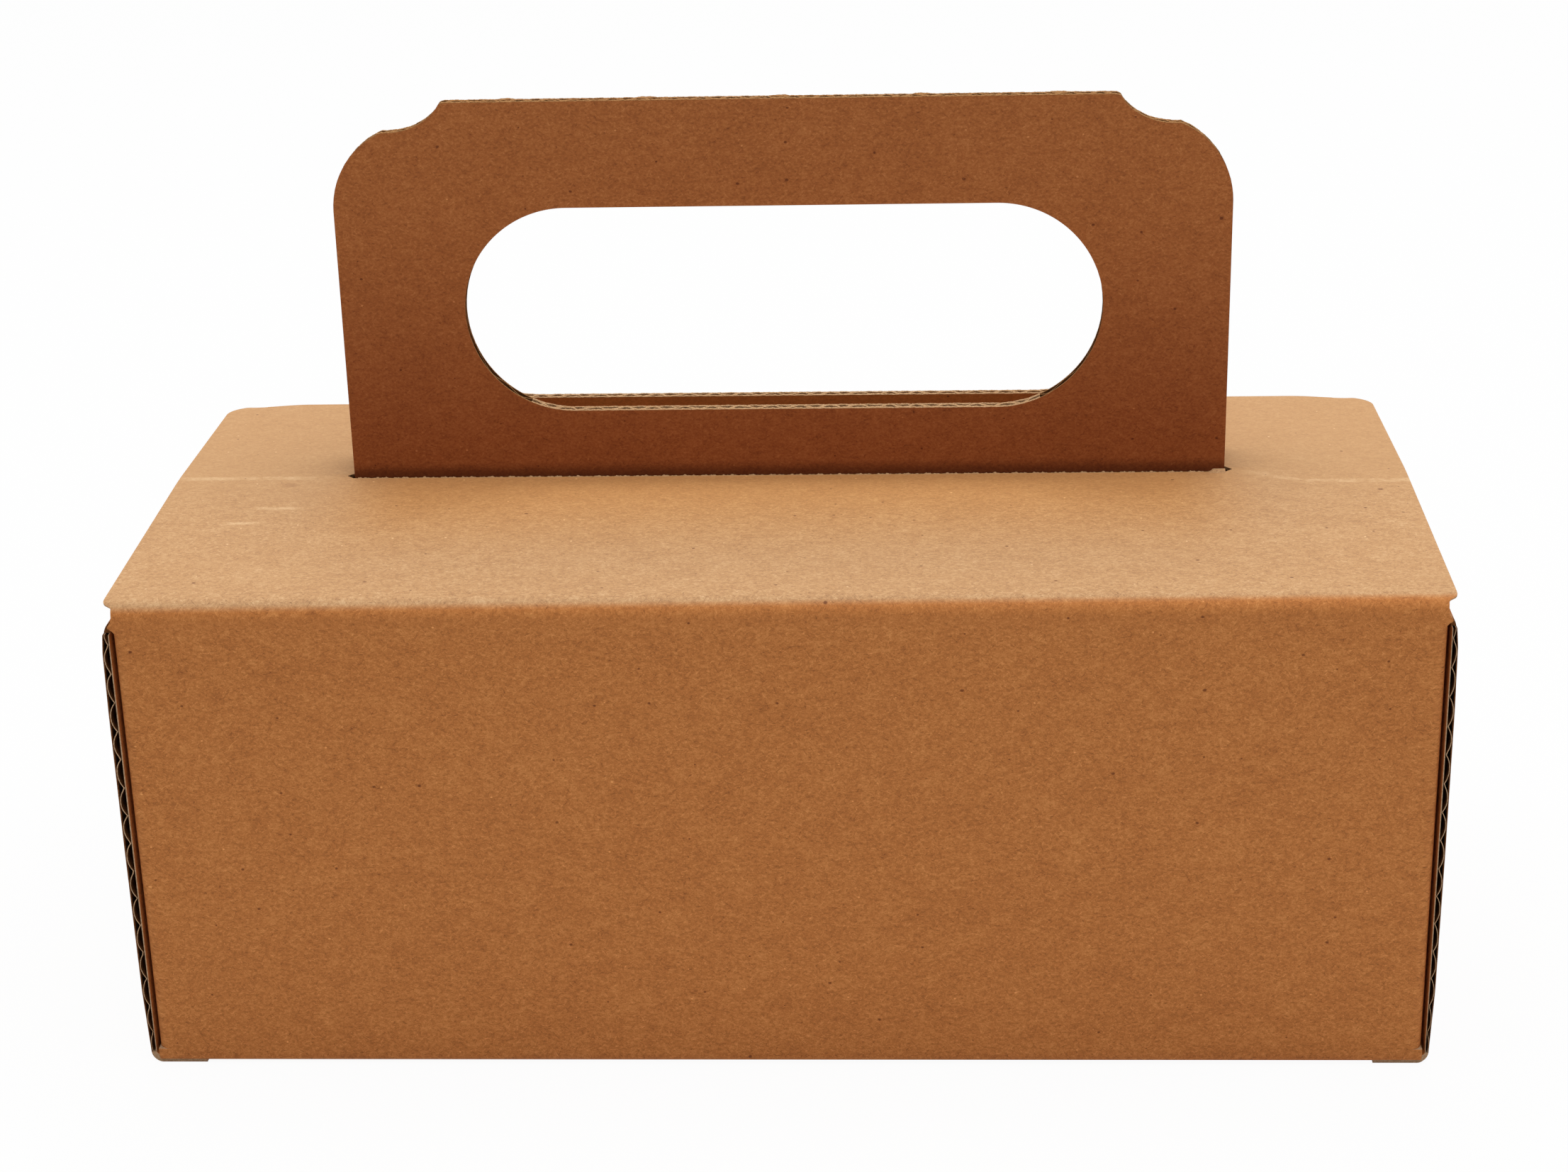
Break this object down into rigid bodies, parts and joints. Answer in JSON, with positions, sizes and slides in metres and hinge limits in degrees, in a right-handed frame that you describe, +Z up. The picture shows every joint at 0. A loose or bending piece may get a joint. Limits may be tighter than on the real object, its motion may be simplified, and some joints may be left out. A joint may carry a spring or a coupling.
{
  "type": "cardboard carry box with handle",
  "caption": "Small corrugated board box with double side walls, a hinged tuck-in lid and a folded carry handle that stands up through a slot in the lid.",
  "frame": {"origin": "centre of the base's underside", "axes": "+X along the hinge wall, the longest side; +Y from the hinge wall to the far wall; +Z up through the lid to the handle"},
  "size_m": [0.1432, 0.069, 0.1005],
  "materials": {
    "box_board": "matt brown kraft liner on E-flute board",
    "handle_board": "matt brown kraft liner on E-flute board, a shade darker"
  },
  "bodies": {
    "tray": {"box_tray": "box_board"},
    "lid_with_handle": {"lid": "box_board", "carry_handle": "handle_board"}
  },
  "joints": [
    {"name": "lid_hinge", "type": "hinge", "parent": "tray", "child": "lid_with_handle", "pos_m": [0, -0.0345, 0.0535], "axis": [1, 0, 0], "range_deg": [0, 180]}
  ]
}
